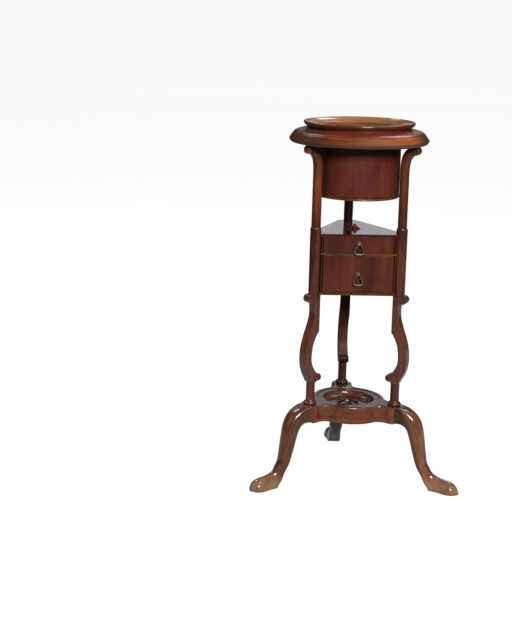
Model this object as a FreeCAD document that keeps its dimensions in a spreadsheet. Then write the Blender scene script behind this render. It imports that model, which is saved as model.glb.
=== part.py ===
import FreeCAD, Part
import Sketcher
import math
import os
from FreeCAD import Vector, Placement, Rotation

# Tripod basin stand in mahogany. Millimetres, +Z up, origin on the stand's
# upright axis at floor level. The drawers open towards -Y. The three uprights
# stand at 210, 330 and 90 degrees round the axis.

doc = FreeCAD.newDocument("basin_stand")
sheet = doc.addObject("Spreadsheet::Sheet", "Sheet")
sheet.Label = "dimensions"

DIMENSIONS = [
    ("total_height", 825.0, "floor to the top of the rim"),
    ("post_circle", 111.0, "radius of the circle that the uprights stand on"),
    # platform
    ("plat_top", 182.0, "upper face of the platform"),
    ("plat_thick", 40.0, "platform thickness"),
    ("plat_belly", 82.0, "radius of the convex middle of each side"),
    ("plat_corner", 24.0, "radius of each corner round its upright"),
    ("plat_cove", 25.0, "radius of the hollow between belly and corner"),
    ("plat_flat", 118.0, "distance of the leg seat from the axis"),
    ("plat_round", 4.0, "rounding of the upper edge"),
    ("dish_lip", 72.2, "radius of the moulded lip"),
    ("dish_rim", 58.5, "radius of the deep recess"),
    ("dish_floor", 168.0, "height of the recess floor"),
    ("cup_rim", 25.5, "radius of the small cup's bead"),
    ("cup_floor", 162.0, "height of the small cup's floor"),
    ("leg_tenon_top", 162.0, "top of the dovetail socket"),
    # spindle
    ("spindle_r", 10.0, "radius of the short turned column"),
    ("collar_r", 15.0, "radius of the turned collar"),
    ("spindle_tenon", 7.0, "radius of the tenon into the platform"),
    ("small_tenon", 5.0, "radius of the tenons between upright pieces"),
    ("tenon_play", 0.1, "radial clearance of the tenons"),
    ("spindle_top", 234.5, "foot of the S-scroll"),
    # scroll
    ("scroll_top", 438.4, "head of the S-scroll"),
    ("scroll_thick", 22.0, "plank thickness of the S-scroll"),
    ("scroll_inner", 100.0, "inner edge of the neck"),
    ("eye_top_r", 9.6, "radius of the upper volute"),
    ("eye_low_r", 8.2, "radius of the lower volute"),
    # stile
    ("stile_r", 12.4, "radius of the stile beside the drawer case"),
    ("stile_neck", 11.3, "radius at the head of the stile"),
    ("rear_neck", 10.3, "radius of the rear stile above the case top"),
    ("stile_top", 591.0, "head of the stile"),
    ("panel_groove", 7.2, "width of the groove for the case side"),
    # upper post
    ("post_half_depth", 9.9, "half depth of the upper post, radial"),
    ("post_half_width", 10.6, "half width of the upper post"),
    ("ring_under", 776.4, "underside of the ring"),
    ("post_eye_r", 9.6, "radius of the volute under the ring"),
    # ring
    ("ring_r", 155.8, "largest radius of the ring"),
    ("ring_top", 806.2, "flat top of the ring"),
    ("ring_hole", 95.5, "radius of the hole in the ring"),
    # liner
    ("drum_r", 94.5, "outer radius of the drum"),
    ("drum_in", 88.5, "inner radius of the drum"),
    ("drum_low", 656.5, "lower edge of the drum"),
    ("collar_top", 813.0, "upper edge of the collar"),
    ("collar_out", 113.7, "outer radius of the collar"),
    ("rim_r", 124.2, "outer radius of the everted rim"),
    # drawer case
    ("case_low", 438.4, "underside of the case"),
    ("case_top", 578.0, "top of the case"),
    ("case_top_rear", 128.0, "rear edge of the case top, behind the axis"),
    ("board", 6.0, "thickness of the case top and bottom"),
    ("case_front", 66.0, "distance of the case edges from the axis"),
    ("side_thick", 7.0, "thickness of the case sides"),
    ("side_offset", 58.0, "distance of the case sides' inner faces from the axis"),
    ("rail_low", 530.0, "underside of the drawer divider"),
    ("rail_thick", 3.5, "thickness of the drawer divider"),
    ("boss_y", 7.0, "place of the boss behind the middle of the case top"),
    ("bead_out", 83.4, "outer face of the front beads"),
    ("bead_in", 80.8, "inner face of the front beads"),
    # drawers
    ("front_half", 78.3, "half width of a drawer front"),
    ("front_face", 64.0, "distance of the drawer fronts from the axis"),
    ("front_thick", 12.0, "thickness of a drawer front"),
    ("drawer_gap", 0.6, "play above and below a drawer"),
    ("drawer_side", 6.0, "thickness of a drawer side"),
    ("drawer_back", 62.0, "back of a drawer"),
    ("drawer_bottom", 4.0, "thickness of a drawer bottom"),
    ("low_side_top", 520.0, "upper edge of the lower drawer's sides"),
    ("up_side_top", 565.0, "upper edge of the upper drawer's sides"),
    # pulls
    ("pull_low_z", 485.5, "height of the lower pull's pivot"),
    ("pull_up_z", 555.5, "height of the upper pull's pivot"),
    ("pull_out", 69.2, "distance of the pivot from the axis"),
    ("pull_rod", 1.5, "radius of the drop's rod"),
    ("pull_eye", 3.0, "radius of the eye"),
    ("pull_shank", 1.5, "radius of the eye bolt's shank"),
    ("plate_r", 5.5, "radius of the back plate"),
    ("plate_thick", 1.5, "thickness of the back plate"),
    ("drop_drop", 23.0, "pivot to the middle of the drop's foot"),
    ("drop_half", 10.4, "half width of the drop, middle of the rod"),
    # leg
    ("toe_r", 269.5, "distance of the toe from the axis"),
]

VALUE = {}
for row, (name, value, note) in enumerate(DIMENSIONS, start=1):
    sheet.set("A%d" % row, name)
    sheet.set("B%d" % row, repr(value))
    sheet.setAlias("B%d" % row, name)
    sheet.set("C%d" % row, note)
    VALUE[name] = value
doc.recompute()


class Size:
    """A number together with the sheet expression that gives it."""

    def __init__(self, v, e):
        self.v = float(v)
        self.e = e

    def _with(self, other, op, v):
        return Size(v, "(%s %s %s)" % (self.e, op, other.e))

    def __add__(self, o):
        o = size(o)
        return self._with(o, "+", self.v + o.v)

    def __radd__(self, o):
        return size(o) + self

    def __sub__(self, o):
        o = size(o)
        return self._with(o, "-", self.v - o.v)

    def __rsub__(self, o):
        return size(o) - self

    def __mul__(self, o):
        o = size(o)
        return self._with(o, "*", self.v * o.v)

    def __rmul__(self, o):
        return size(o) * self

    def __neg__(self):
        return size(0.0) - self


def size(x):
    return x if isinstance(x, Size) else Size(x, "%.6f" % float(x))


def cell(name):
    return Size(float(sheet.get(name)), "Sheet." + name)


def val(x):
    return x.v if isinstance(x, Size) else float(x)


def bind(obj, prop, x):
    setattr(obj, prop, val(x))
    if isinstance(x, Size):
        obj.setExpression(prop, x.e)


C = Sketcher.Constraint
NODES = []


def new_body(label):
    b = doc.addObject("PartDesign::Body", label)
    b.Label = label
    NODES.append(b)
    return b


def origin_plane(b, role):
    for f in b.Origin.OriginFeatures:
        if f.Role == role:
            return f
    raise RuntimeError("no plane " + role)


def new_sketch(b, name, role="XZ_Plane", lift=0.0):
    sk = b.newObject("Sketcher::SketchObject", name)
    sk.AttachmentSupport = [(origin_plane(b, role), "")]
    sk.MapMode = "FlatFace"
    sk.AttachmentOffset = Placement(Vector(0, 0, val(lift)), Rotation())
    if isinstance(lift, Size):
        sk.setExpression("AttachmentOffset.Base.z", lift.e)
    return sk


def fix_point(sk, geo, pos, x, y):
    i = sk.addConstraint(C("DistanceX", geo, pos, val(x)))
    if isinstance(x, Size):
        sk.setExpression("Constraints[%d]" % i, x.e)
    i = sk.addConstraint(C("DistanceY", geo, pos, val(y)))
    if isinstance(y, Size):
        sk.setExpression("Constraints[%d]" % i, y.e)


def outline(sk, items):
    """Closed outline. An item is a corner (x, y), reached by a straight line,
    or ("arc", middle, corner), or ("curve", [points between], corner)."""
    corners, kinds = [], []
    for it in items:
        if it[0] in ("arc", "curve"):
            kinds.append((it[0], it[1]))
            corners.append(it[2])
        else:
            kinds.append(("line", None))
            corners.append(it)
    ends = []
    n = len(corners)
    for i in range(n):
        a = Vector(val(corners[i - 1][0]), val(corners[i - 1][1]), 0)
        b = Vector(val(corners[i][0]), val(corners[i][1]), 0)
        kind, extra = kinds[i]
        if kind == "line":
            g = sk.addGeometry(Part.LineSegment(a, b), False)
            ends.append((g, 1, 2))
        elif kind == "arc":
            m = Vector(val(extra[0]), val(extra[1]), 0)
            g = sk.addGeometry(Part.Arc(a, m, b), False)
            if sk.getPoint(g, 1).distanceToPoint(a) < 1e-4:
                ends.append((g, 1, 2))
            else:
                ends.append((g, 2, 1))
        else:
            pts = [a] + [Vector(val(p[0]), val(p[1]), 0) for p in extra] + [b]
            s = Part.BSplineCurve()
            s.interpolate(pts)
            g = sk.addGeometry(s, False)
            ends.append((g, 1, 2))
    for i in range(n):
        g, s, e = ends[i]
        h, s2, e2 = ends[(i + 1) % n]
        sk.addConstraint(C("Coincident", g, e, h, s2))
    for i in range(n):
        fix_point(sk, ends[i][0], ends[i][2], corners[i][0], corners[i][1])
    return sk


def circle(sk, x, y, r):
    g = sk.addGeometry(Part.Circle(Vector(val(x), val(y), 0), Vector(0, 0, 1), val(r)), False)
    fix_point(sk, g, 3, x, y)
    i = sk.addConstraint(C("Radius", g, val(r)))
    if isinstance(r, Size):
        sk.setExpression("Constraints[%d]" % i, r.e)
    return g


def pad(b, sk, length, name="pad"):
    f = b.newObject("PartDesign::Pad", name)
    f.Profile = sk
    bind(f, "Length", length)
    doc.recompute()
    return f


def cut_depth(b, sk, depth, name="pocket", reverse=False):
    before = b.Shape.Volume
    f = b.newObject("PartDesign::Pocket", name)
    f.Profile = sk
    f.Type = 0
    bind(f, "Length", depth)
    f.Reversed = reverse
    doc.recompute()
    if b.Shape.Volume > before - 1e-3:
        raise RuntimeError("%s %s cuts nothing" % (b.Label, name))
    return f


def revolve(b, sk, name="turning"):
    f = b.newObject("PartDesign::Revolution", name)
    f.Profile = sk
    f.ReferenceAxis = (sk, ["V_Axis"])
    f.Angle = 360.0
    doc.recompute()
    return f


def groove(b, sk, name="groove"):
    before = b.Shape.Volume
    f = b.newObject("PartDesign::Groove", name)
    f.Profile = sk
    f.ReferenceAxis = (sk, ["V_Axis"])
    f.Angle = 360.0
    doc.recompute()
    if b.Shape.Volume > before - 1e-3:
        raise RuntimeError("%s %s cuts nothing" % (b.Label, name))
    return f


def round_edges(b, base, test, r, name="fillet"):
    names = []
    for i, e in enumerate(base.Shape.Edges, start=1):
        if test(e):
            names.append("Edge%d" % i)
    f = b.newObject("PartDesign::Fillet", name)
    f.Base = (base, names)
    bind(f, "Radius", r)
    doc.recompute()
    return f


def on_post(b, angle, turn=True):
    """Put a piece made round its own axis on the upright at this angle."""
    c, s = math.cos(math.radians(angle)), math.sin(math.radians(angle))
    r = cell("post_circle")
    b.Placement = Placement(
        Vector(r.v * c, r.v * s, 0), Rotation(Vector(0, 0, 1), angle if turn else 0)
    )
    b.setExpression("Placement.Base.x", "%s * %.9f" % (r.e, c))
    b.setExpression("Placement.Base.y", "%s * %.9f" % (r.e, s))


def turn_to(b, angle):
    """Turn a piece made in the XZ plane, X radial, to this angle."""
    b.Placement = Placement(Vector(0, 0, 0), Rotation(Vector(0, 0, 1), angle))


def turned(label, items):
    b = new_body(label)
    revolve(b, outline(new_sketch(b, label + "_profile"), items))
    return b


POSTS = [("front_left", 210.0), ("front_right", 330.0), ("rear", 90.0)]
play = cell("tenon_play")

# ---------------------------------------------------------------- platform
# Three convex sides, six hollows and three corners, all tangent arcs.
pb = new_body("platform")
sk = new_sketch(pb, "platform_outline", "XY_Plane", cell("plat_top") - cell("plat_thick"))
R, rm, rc, rv = (VALUE[k] for k in ("post_circle", "plat_belly", "plat_corner", "plat_cove"))
swing = math.acos(((rm + rv) ** 2 + R ** 2 - (rc + rv) ** 2) / (2 * (rm + rv) * R))


def polar(r, a):
    return Vector(r * math.cos(a), r * math.sin(a), 0)


arcs = []
for k in range(3):
    front = math.radians(270 + 120 * k)
    post = math.radians(330 + 120 * k)
    nxt = math.radians(390 + 120 * k)
    cl = polar(rm + rv, post - swing)
    cr = polar(rm + rv, post + swing)
    cp = polar(R, post)
    t0 = polar(rm, front - (math.radians(60) - swing))
    t1 = polar(rm, post - swing)
    t2 = cl + (cp - cl) * (rv / (rv + rc))
    t3 = cr + (cp - cr) * (rv / (rv + rc))
    t4 = polar(rm, post + swing)
    arcs.append((t0, polar(rm, front), t1, "plat_belly", Vector(0, 0, 0)))
    m = cl + (((t1 - cl) + (t2 - cl)).normalize() * rv)
    arcs.append((t1, m, t2, "plat_cove", None))
    arcs.append((t2, cp + polar(rc, post), t3, "plat_corner", cp))
    m = cr + (((t3 - cr) + (t4 - cr)).normalize() * rv)
    arcs.append((t3, m, t4, "plat_cove", None))
ids = []
for a, m, b_, key, ctr in arcs:
    g = sk.addGeometry(Part.Arc(a, m, b_), False)
    fwd = sk.getPoint(g, 1).distanceToPoint(a) < 1e-4
    ids.append((g, 1 if fwd else 2, 2 if fwd else 1))
for i in range(len(ids)):
    g, s, e = ids[i]
    h, s2, e2 = ids[(i + 1) % len(ids)]
    sk.addConstraint(C("Coincident", g, e, h, s2))
for (a, m, b_, key, ctr), (g, s, e) in zip(arcs, ids):
    i = sk.addConstraint(C("Radius", g, VALUE[key]))
    sk.setExpression("Constraints[%d]" % i, cell(key).e)
    if ctr is not None and ctr.Length > 1:
        fix_point(sk, g, 3, ctr.x / R * cell("post_circle"), ctr.y / R * cell("post_circle"))
    elif ctr is not None:
        sk.addConstraint(C("Coincident", g, 3, -1, 1))
base = pad(pb, sk, cell("plat_thick"), "platform_block")
top_z = VALUE["plat_top"]
base = round_edges(
    pb, base, lambda e: abs(e.BoundBox.ZMin - top_z) < 1e-3 and abs(e.BoundBox.ZMax - top_z) < 1e-3,
    cell("plat_round"), "platform_rounding",
)
low_z = top_z - VALUE["plat_thick"]
base = round_edges(
    pb, base, lambda e: abs(e.BoundBox.ZMin - low_z) < 1e-3 and abs(e.BoundBox.ZMax - low_z) < 1e-3,
    1.5, "platform_arris",
)
top = cell("plat_top")
fl, cf = cell("dish_floor"), cell("cup_floor")
lip, dr, cr_ = cell("dish_lip"), cell("dish_rim"), cell("cup_rim")
sk = new_sketch(pb, "dish_profile")
outline(sk, [
    (0.0, cf),
    (cr_ - 10.0, cf),
    ("arc", (VALUE["cup_rim"] - 6.0, VALUE["cup_floor"] + 2.2), (cr_ - 4.2, fl + 0.6)),
    ("arc", (VALUE["cup_rim"] - 2.1, VALUE["dish_floor"] + 2.0), (cr_, fl)),
    (dr - 12.0, fl),
    ("arc", (VALUE["dish_rim"] - 3.9, VALUE["dish_floor"] + 4.0), (dr - 0.8, fl + 11.5)),
    (dr, top - 1.8),
    (lip - 1.2, top - 1.6),
    ("arc", (VALUE["dish_lip"] - 0.4, VALUE["plat_top"] - 1.0), (lip, top)),
    (lip, top + 2.0),
    (0.0, top + 2.0),
])
groove(pb, sk, "dish_turning")
# seats for the legs: flat corners with dovetail sockets open below
flat = cell("plat_flat")
for k, (side, ang) in enumerate(POSTS):
    ca, sa = math.cos(math.radians(ang)), math.sin(math.radians(ang))

    def at(r, t, ca=ca, sa=sa):
        r, t = size(r), size(t)
        return (r * ca - t * sa, r * sa + t * ca)

    sk = new_sketch(pb, "corner_%s" % side, "XY_Plane", cell("plat_top") - cell("plat_thick") - 1.0)
    outline(sk, [at(flat, -30.0), at(flat + 24.0, -30.0), at(flat + 24.0, 30.0), at(flat, 30.0)])
    cut_depth(pb, sk, cell("plat_thick") + 2.0, "corner_cut_%s" % side, True)
    sk = new_sketch(pb, "socket_%s" % side, "XY_Plane", cell("plat_top") - cell("plat_thick") - 1.0)
    outline(sk, [at(flat + 1.0, -6.0 - 0.1), at(flat + 1.0, 6.0 + 0.1),
                 at(flat - 13.0, 8.6 + 0.1), at(flat - 13.0, -8.6 - 0.1)])
    cut_depth(pb, sk, cell("leg_tenon_top") - cell("plat_top") + cell("plat_thick") + 1.0,
              "socket_cut_%s" % side, True)
sk = new_sketch(pb, "mortises", "XY_Plane", cell("plat_top"))
for side, ang in POSTS:
    ca, sa = math.cos(math.radians(ang)), math.sin(math.radians(ang))
    circle(sk, cell("post_circle") * ca, cell("post_circle") * sa, cell("spindle_tenon") + play)
cut_depth(pb, sk, 16.0, "mortise_cut")

# ---------------------------------------------------------------- legs
# Carved solid: sections across the leg's curved middle line, then upright
# sections through the slipper foot. Each section is an under edge and an arch.


def arch_section(points_arch, points_under):
    a = Part.BSplineCurve()
    a.interpolate(points_arch)
    if len(points_under) == 2:
        u = Part.LineSegment(points_under[0], points_under[1])
        ue = u.toShape()
    else:
        s = Part.BSplineCurve()
        s.interpolate(points_under)
        ue = s.toShape()
    return Part.Wire([a.toShape(), ue])


def power(c, n):
    return math.copysign(abs(c) ** (2.0 / n), c)


def tube_section(cx, cz, tx, tz, a, b, n, lo=-38.0):
    length = math.hypot(tx, tz)
    tx, tz = tx / length, tz / length
    nx, nz = -tz, tx

    def pt(deg):
        f = math.radians(deg)
        u, w = a * power(math.sin(f), n), b * power(math.cos(f), n)
        return Vector(cx + nx * u, w, cz + nz * u)

    arch = [pt(lo + (180.0 - 2 * lo) * i / 16.0) for i in range(17)]
    under = [pt(180.0 - lo + (180.0 + 2 * lo) * i / 6.0) for i in range(7)]
    under[0], under[-1] = arch[-1], arch[0]
    return arch_section(arch, under)


def foot_section(r_low, z_low, r_top, z_top, w, q):
    arch = []
    for i in range(17):
        f = math.pi * i / 16.0
        h = abs(math.sin(f)) ** q
        arch.append(Vector(r_low + (r_top - r_low) * h, w * math.cos(f), z_low + (z_top - z_low) * h))
    return arch_section(arch, [arch[-1], arch[0]])


toe = VALUE["toe_r"]
flat_r = VALUE["plat_flat"]
mid_z = VALUE["plat_top"] - VALUE["plat_thick"] / 2.0
LEG_LINE = [
    # middle line r, z, half depth, half width, squareness
    (flat_r, mid_z, 19.6, 22.6, 7.0),
    (126.0, mid_z - 0.4, 19.6, 22.4, 5.0),
    (136.0, mid_z - 2.2, 19.6, 21.6, 3.6),
    (147.0, 154.6, 19.5, 20.8, 2.9),
    (156.0, 146.0, 18.8, 20.4, 2.6),
    (162.4, 134.0, 17.8, 20.0, 2.45),
    (166.6, 119.0, 16.8, 19.6, 2.35),
    (170.2, 102.0, 15.8, 18.8, 2.3),
    (173.9, 84.0, 14.6, 18.0, 2.3),
    (177.8, 67.0, 13.5, 17.0, 2.25),
    (182.8, 51.0, 12.6, 16.0, 2.2),
    (190.6, 38.0, 12.6, 14.8, 2.2),
]
FOOT = [
    # r and z below, r and z above, half width, fullness
    (194.5, 14.5, 210.0, 36.4, 14.2, 0.92),
    (201.5, 5.6, 220.0, 32.0, 14.2, 0.95),
    (205.6, 0.0, 227.0, 30.0, 14.6, 1.0),
    (219.0, 0.0, 234.0, 28.6, 15.4, 1.05),
    (233.0, 0.0, 242.0, 27.0, 17.6, 1.08),
    (245.5, 0.0, 250.0, 24.8, 19.4, 1.02),
    (254.5, 0.0, 256.6, 21.6, 18.2, 0.94),
    (261.5, 0.0, 262.0, 16.4, 14.0, 0.86),
    (266.3, 0.0, 266.0, 10.8, 8.6, 0.8),
    (toe, 0.0, 268.6, 5.2, 3.2, 0.75),
]


def make_leg():
    wires = []
    n = len(LEG_LINE)
    for i, (r, z, a, b, sq) in enumerate(LEG_LINE):
        p = LEG_LINE[max(i - 1, 0)]
        q = LEG_LINE[min(i + 1, n - 1)] if i < n - 1 else (200.6, 27.0)
        tx, tz = q[0] - p[0], q[1] - p[1]
        if i == 0:
            tx, tz = 1.0, 0.0
        wires.append(tube_section(r, z, tx, tz, a, b, sq))
    for row in FOOT:
        wires.append(foot_section(*row))
    solid = Part.makeLoft(wires, True, False)
    # dovetail that slides up into the platform corner
    z0 = VALUE["plat_top"] - VALUE["plat_thick"] + 0.2
    z1 = VALUE["leg_tenon_top"] - 0.2
    face = Part.Face(Part.makePolygon([
        Vector(flat_r + 3.0, -5.9, z0), Vector(flat_r, -6.0, z0),
        Vector(flat_r - 12.8, -8.5, z0), Vector(flat_r - 12.8, 8.5, z0),
        Vector(flat_r, 6.0, z0), Vector(flat_r + 3.0, 5.9, z0), Vector(flat_r + 3.0, -5.9, z0)]))
    tenon = face.extrude(Vector(0, 0, z1 - z0))
    solid = solid.fuse(tenon).removeSplitter()
    floor = Part.makeBox(400, 200, 50, Vector(0, -100, -50))
    solid = solid.cut(floor)
    return solid


leg_shape = make_leg()
if len(leg_shape.Solids) == 1:
    leg_shape = leg_shape.Solids[0]
for side, ang in POSTS:
    f = doc.addObject("Part::Feature", "leg_" + side)
    f.Label = "leg_" + side
    f.Shape = leg_shape.copy()
    turn_to(f, ang)
    NODES.append(f)

# ---------------------------------------------------------------- spindles
st, sr, crr = cell("small_tenon"), cell("spindle_r"), cell("collar_r")
for side, ang in POSTS:
    b = turned("spindle_" + side, [
        (0.0, top - 15.0),
        (cell("spindle_tenon"), top - 15.0),
        (cell("spindle_tenon"), top),
        (crr - 1.2, top),
        ("arc", (VALUE["collar_r"], VALUE["plat_top"] + 3.1), (crr - 1.2, top + 6.2)),
        (crr - 2.6, top + 7.0),
        ("arc", (VALUE["spindle_r"] + 0.9, VALUE["plat_top"] + 8.6), (sr, top + 11.5)),
        (sr, cell("spindle_top")),
        (st, cell("spindle_top")),
        (st, cell("spindle_top") + 11.5),
        (0.0, cell("spindle_top") + 11.5),
    ])
    on_post(b, ang)

# ---------------------------------------------------------------- S-scrolls
EX, EZ, ER = 122.0, VALUE["scroll_top"] - VALUE["eye_top_r"], VALUE["eye_top_r"]
FX, FZ, FR = 98.2, 245.4, VALUE["eye_low_r"]
OUTER = [(115.6, 416.0), (114.6, 408.0), (114.3, 397.0), (115.0, 387.0), (117.2, 378.0),
         (119.7, 369.0), (122.5, 360.6), (125.7, 352.0), (128.9, 343.0), (131.6, 334.0),
         (133.9, 325.5), (135.7, 316.5), (137.0, 307.5), (137.7, 298.0), (137.8, 289.0),
         (137.2, 280.0), (135.6, 270.0), (132.8, 260.6), (128.6, 250.6), (123.6, 241.5)]
INNER = [(104.6, 256.5), (107.6, 262.0), (111.6, 268.4), (114.9, 275.5), (117.1, 283.5),
         (118.0, 292.0), (117.9, 300.0), (117.2, 308.0), (115.8, 317.0), (113.6, 326.0),
         (110.5, 334.2), (106.9, 341.4), (103.3, 347.4)]


def ray(cx, cz, r, deg):
    return (cx + r * math.cos(math.radians(deg)), cz + r * math.sin(math.radians(deg)))


scr_in, scr_top = cell("scroll_inner"), cell("scroll_top")
for side, ang in POSTS:
    b = new_body("lower_scroll_" + side)
    sk = new_sketch(b, "scroll_outline_" + side, "XZ_Plane", cell("scroll_thick") * -0.5)
    outline(sk, [
        (scr_in, scr_top),
        (EX, scr_top),
        ("arc", ray(EX, EZ, ER, 0.0), ray(EX, EZ, ER, -115.0)),
        ("curve", OUTER, (120.6, cell("spindle_top"))),
        (101.4, cell("spindle_top")),
        ray(FX, FZ, FR, -62.0),
        ("arc", ray(FX, FZ, FR, 180.0), ray(FX, FZ, FR, 48.0)),
        ("curve", INNER, (scr_in, 352.0)),
    ])
    base = pad(b, sk, cell("scroll_thick"), "scroll_plank")
    face_y = VALUE["scroll_thick"] / 2.0
    round_edges(
        b, base, lambda e: abs(abs(e.BoundBox.YMin) - face_y) < 1e-3 and e.BoundBox.YLength < 1e-3
        and e.Curve.TypeId == "Part::GeomBSplineCurve", 1.0, "scroll_rounding")
    sk = new_sketch(b, "scroll_mortise_low_" + side, "XY_Plane", cell("spindle_top"))
    circle(sk, cell("post_circle"), 0.0, st + play)
    cut_depth(b, sk, 12.0, "scroll_mortise_low_cut", True)
    sk = new_sketch(b, "scroll_mortise_top_" + side, "XY_Plane", scr_top)
    circle(sk, cell("post_circle"), 0.0, st + play)
    cut_depth(b, sk, 12.0, "scroll_mortise_top_cut")
    turn_to(b, ang)

# ---------------------------------------------------------------- stiles
# Round stiles; a groove takes the edge of each case side.
str_, neck, s_top = cell("stile_r"), cell("stile_neck"), cell("stile_top")
GROOVES = {"front_left": [(60.0, 1.0)], "front_right": [(120.0, -1.0)],
           "rear": [(240.0, -1.0), (300.0, 1.0)]}
for side, ang in POSTS:
    if side == "rear":
        # slimmer where it comes up through the case top
        head = [
            (str_, cell("case_top") - cell("board") - 0.2),
            (cell("rear_neck"), cell("case_top") - cell("board") - 0.2),
            (cell("rear_neck"), s_top),
        ]
    else:
        head = [
            (str_, s_top - 5.8),
            ("arc", (VALUE["stile_r"] - 0.25, VALUE["stile_top"] - 2.4), (neck + 0.15, s_top - 0.4)),
            (neck - 0.25, s_top),
        ]
    b = turned("stile_" + side, [
        (0.0, scr_top - 11.5),
        (st, scr_top - 11.5),
        (st, scr_top),
        (str_ - 0.8, scr_top),
        (str_, scr_top + 0.8),
    ] + head + [
        (st + play, s_top),
        (st + play, s_top - 12.0),
        (0.0, s_top - 12.0),
    ])
    # the groove runs beside the line that joins two uprights, on its outer side
    g_in = cell("side_offset") - cell("post_circle") * 0.5 - 0.1
    g_out = g_in + cell("panel_groove")
    for j, (heading, hand) in enumerate(GROOVES[side]):
        ch, sh = math.cos(math.radians(heading)), math.sin(math.radians(heading))
        nx, ny = -sh * hand, ch * hand

        def at(along, out, ch=ch, sh=sh, nx=nx, ny=ny):
            along, out = size(along), size(out)
            return (along * ch + out * nx, along * sh + out * ny)

        sk = new_sketch(b, "side_groove_%s_%d" % (side, j), "XY_Plane", cell("case_low") + cell("board") - 0.2)
        outline(sk, [at(7.7, g_in), at(16.0, g_in), at(16.0, g_out), at(7.7, g_out)])
        cut_depth(b, sk, cell("case_top") - cell("case_low") - cell("board") * 2.0 + 0.4,
                  "side_groove_cut_%d" % j, True)
    on_post(b, ang, False)

# ---------------------------------------------------------------- upper posts
# Oval post that leans out at the head into a volute below the ring.
POST_LINE = [
    # r, z, half depth, half width
    (111.0, 591.0, 1.0, 1.0),
    (111.0, 632.0, 0.985, 0.99),
    (111.0, 673.0, 0.985, 0.98),
    (111.0, 714.0, 1.0, 0.97),
    (111.3, 728.0, 1.02, 0.965),
    (112.6, 740.0, 1.06, 0.96),
    (115.4, 750.5, 1.10, 0.955),
    (119.8, 758.2, 1.14, 0.95),
    (125.4, 763.8, 1.12, 0.94),
    (131.6, 767.2, 0.98, 0.93),
]


def along(rows, step):
    """Points at even steps along a middle line, with its direction there."""
    run = [0.0]
    for p, q in zip(rows, rows[1:]):
        run.append(run[-1] + math.hypot(q[0] - p[0], q[1] - p[1]))
    line = Part.BSplineCurve()
    line.interpolate([Vector(r[0], 0, r[1]) for r in rows], Parameters=run)
    count = int(round(run[-1] / step))
    for k in range(count + 1):
        t = run[-1] * k / count
        i = max(j for j in range(len(run) - 1) if run[j] <= t + 1e-9)
        f = (t - run[i]) / (run[i + 1] - run[i])
        rest = [u + (v - u) * f for u, v in zip(rows[i][2:], rows[i + 1][2:])]
        pt, d = line.value(t), line.tangent(t)[0]
        yield pt.x, pt.z, d.x, d.z, rest


def make_upper_post():
    pd, pw = VALUE["post_half_depth"], VALUE["post_half_width"]
    ru, er, R_ = VALUE["ring_under"], VALUE["post_eye_r"], VALUE["post_circle"]
    wires = []
    for r, z, tx, tz, (a, b) in along(POST_LINE, 11.0):
        if not wires:
            tx, tz = 0.0, 1.0
        pts = []
        for k in range(20):
            f = 2 * math.pi * (k + 0.5) / 20.0
            u, w = a * pd * power(math.cos(f), 2.35), b * pw * power(math.sin(f), 2.35)
            pts.append(Vector(r + tz * u, w, z - tx * u))
        s = Part.BSplineCurve()
        s.interpolate(pts, PeriodicFlag=True)
        wires.append(Part.Wire([s.toShape()]))
    body = Part.makeLoft(wires, True, False)
    eye_r, eye_z = 135.5, ru - er - 0.6
    half = pw * 0.93
    eye = Part.makeCylinder(er, 2 * half, Vector(eye_r, -half, eye_z), Vector(0, 1, 0))
    rim = [e for e in eye.Edges if e.Curve.TypeId == "Part::GeomCircle"]
    eye = eye.makeFillet(1.2, rim)
    body = body.fuse(eye)
    body = body.cut(Part.makeBox(200, 100, 60, Vector(60, -50, ru)))
    st_ = VALUE["small_tenon"]
    body = body.fuse(Part.makeCylinder(st_, 12.5, Vector(R_, 0, VALUE["stile_top"] - 11.5)))
    return body.fuse(Part.makeCylinder(6.0, 19.0, Vector(133.0, 0, ru - 7.0)))


post_shape = make_upper_post()
if len(post_shape.Solids) == 1:
    post_shape = post_shape.Solids[0]
for side, ang in POSTS:
    f = doc.addObject("Part::Feature", "upper_post_" + side)
    f.Label = "upper_post_" + side
    f.Shape = post_shape.copy()
    turn_to(f, ang)
    NODES.append(f)

# ---------------------------------------------------------------- top ring
ru, rt, rr = cell("ring_under"), cell("ring_top"), cell("ring_r")
b = turned("top_ring", [
    (cell("ring_hole"), ru),
    (rr - 8.4, ru),
    ("curve", [(150.6, 777.5), (153.3, 779.6), (155.0, 782.5)], (rr, ru + 9.4)),
    (rr - 8.8, ru + 21.8),
    (rr - 9.8, ru + 22.5),
    ("curve", [(145.0, 800.6), (143.2, 802.1), (140.9, 803.3)], (rr - 17.6, ru + 28.0)),
    ("curve", [(134.2, 805.4), (128.9, 806.9), (122.4, 808.6)], (rr - 39.8, rt + 3.5)),
    (cell("collar_out") + 0.6, rt + 3.5),
    (cell("collar_out") + 0.6, rt),
    (cell("ring_hole"), rt),
])
sk = new_sketch(b, "ring_mortises", "XY_Plane", ru)
for side, ang in POSTS:
    ca, sa = math.cos(math.radians(ang)), math.sin(math.radians(ang))
    circle(sk, 133.0 * ca, 133.0 * sa, 6.1)
cut_depth(b, sk, 12.4, "ring_mortise_cut", True)

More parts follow.
